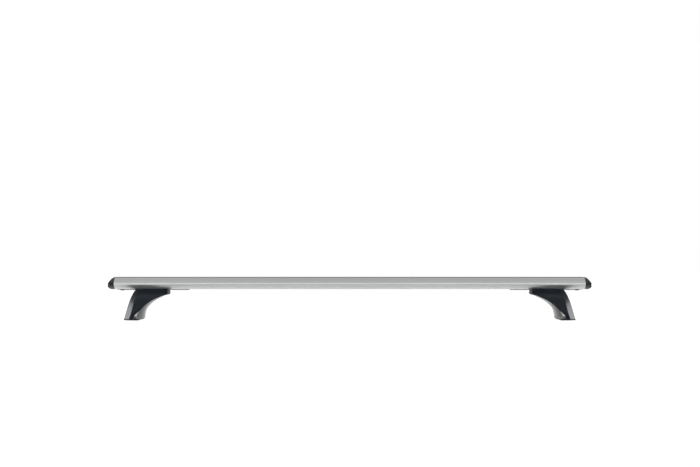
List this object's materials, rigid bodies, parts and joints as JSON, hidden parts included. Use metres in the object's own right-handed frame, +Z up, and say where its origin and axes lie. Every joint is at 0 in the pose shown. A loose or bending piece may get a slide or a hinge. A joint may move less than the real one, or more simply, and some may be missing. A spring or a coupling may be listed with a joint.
{
  "type": "roof rack crossbar",
  "caption": "Aerodynamic aluminium roof rack crossbar with a rubber strip on top, wedge-nosed end caps and sliding feet with locked gloss covers.",
  "frame": {"origin": "on the ground, midway between the feet, under the centre line of the bar's slots", "axes": "+X along the bar, +Z up, -Y towards the bar's thin trailing edge"},
  "size_m": [1.26, 0.109, 0.1122],
  "materials": {
    "bar_aluminium": "satin anodised extrusion",
    "plate_aluminium": "satin anodised flat bar",
    "strip_rubber": "matte black rubber",
    "cap_plastic": "fine grained black plastic",
    "stop_plastic": "black plastic",
    "shell_plastic": "dark slate grained plastic",
    "cover_plastic": "piano black gloss",
    "pad_rubber": "matte black rubber",
    "core_casting": "blasted casting",
    "zinc_steel": "zinc plated steel",
    "lock_steel": "bright plated lock barrel"
  },
  "bodies": {
    "bar": {"bar_profile": "bar_aluminium", "top_rubber_strip": "strip_rubber", "end_cap_left": "cap_plastic", "end_cap_right": "cap_plastic", "slot_stop_left": "stop_plastic", "slot_stop_right": "stop_plastic", "stop_screw_left": "zinc_steel", "stop_screw_right": "zinc_steel"},
    "left_foot": {"slide_plate_left": "plate_aluminium", "t_bolts_left": "zinc_steel", "t_washers_left": "zinc_steel", "t_nuts_left": "zinc_steel", "foot_core_left": "core_casting", "foot_shell_left": "shell_plastic", "base_pad_left": "pad_rubber", "base_bush_left": "zinc_steel"},
    "left_cover": {"flank_cover_left": "cover_plastic"},
    "left_lock": {"lock_barrel_left": "lock_steel", "lock_cam_left": "zinc_steel"},
    "right_foot": {"slide_plate_right": "plate_aluminium", "t_bolts_right": "zinc_steel", "t_washers_right": "zinc_steel", "t_nuts_right": "zinc_steel", "foot_core_right": "core_casting", "foot_shell_right": "shell_plastic", "base_pad_right": "pad_rubber", "base_bush_right": "zinc_steel"},
    "right_cover": {"flank_cover_right": "cover_plastic"},
    "right_lock": {"lock_barrel_right": "lock_steel", "lock_cam_right": "zinc_steel"}
  },
  "joints": [
    {"name": "left_foot_slide", "type": "slide", "parent": "bar", "child": "left_foot", "axis": [1, 0, 0], "range_m": [0, 0.4]},
    {"name": "left_cover_pull", "type": "slide", "parent": "left_foot", "child": "left_cover", "axis": [1, 0, 0], "range_m": [0, 0.04]},
    {"name": "left_lock_turn", "type": "hinge", "parent": "left_cover", "child": "left_lock", "pos_m": [-0.52115, 0, 0.03905], "axis": [0.7188, 0, -0.6953], "range_deg": [0, 90]},
    {"name": "right_foot_slide", "type": "slide", "parent": "bar", "child": "right_foot", "axis": [-1, 0, 0], "range_m": [0, 0.4]},
    {"name": "right_cover_pull", "type": "slide", "parent": "right_foot", "child": "right_cover", "axis": [-1, 0, 0], "range_m": [0, 0.04]},
    {"name": "right_lock_turn", "type": "hinge", "parent": "right_cover", "child": "right_lock", "pos_m": [0.52115, 0, 0.03905], "axis": [0.7188, 0, 0.6953], "range_deg": [0, 90]}
  ]
}
